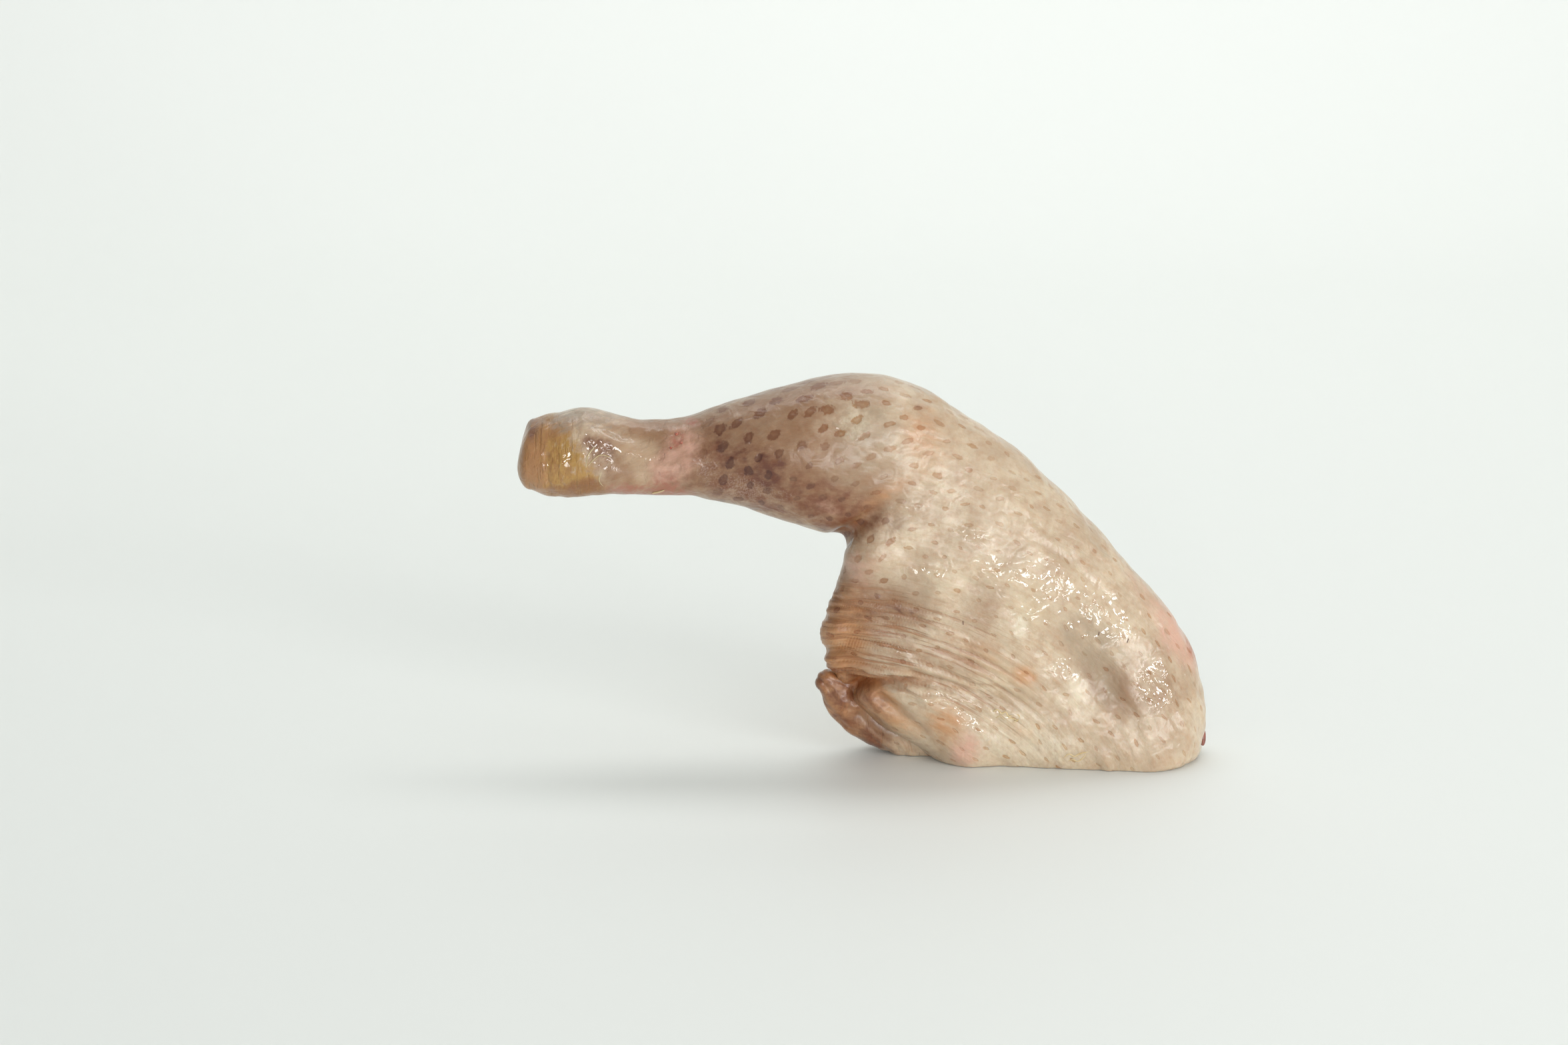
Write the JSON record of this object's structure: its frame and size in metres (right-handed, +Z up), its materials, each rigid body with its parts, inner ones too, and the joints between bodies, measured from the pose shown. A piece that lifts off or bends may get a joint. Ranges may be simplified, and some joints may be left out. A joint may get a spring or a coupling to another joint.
{
  "type": "raw chicken leg",
  "caption": "Raw chicken leg with skin on, drumstick and thigh in one piece, standing on the cut side of its thigh with the drumstick held out level.",
  "frame": {"origin": "the middle of the flat under the thigh that the leg rests on", "axes": "+X from the hock towards the hip, +Y from the outer side towards the inner side, +Z up"},
  "size_m": [0.2384, 0.0442, 0.1358],
  "materials": {
    "chicken_skin": "moist pale skin with feather follicles",
    "bare_flesh": "wet raw meat",
    "joint_cartilage": "wet pearl-white cartilage"
  },
  "bodies": {
    "root": {"chicken_leg": "chicken_skin"}
  },
  "joints": []
}
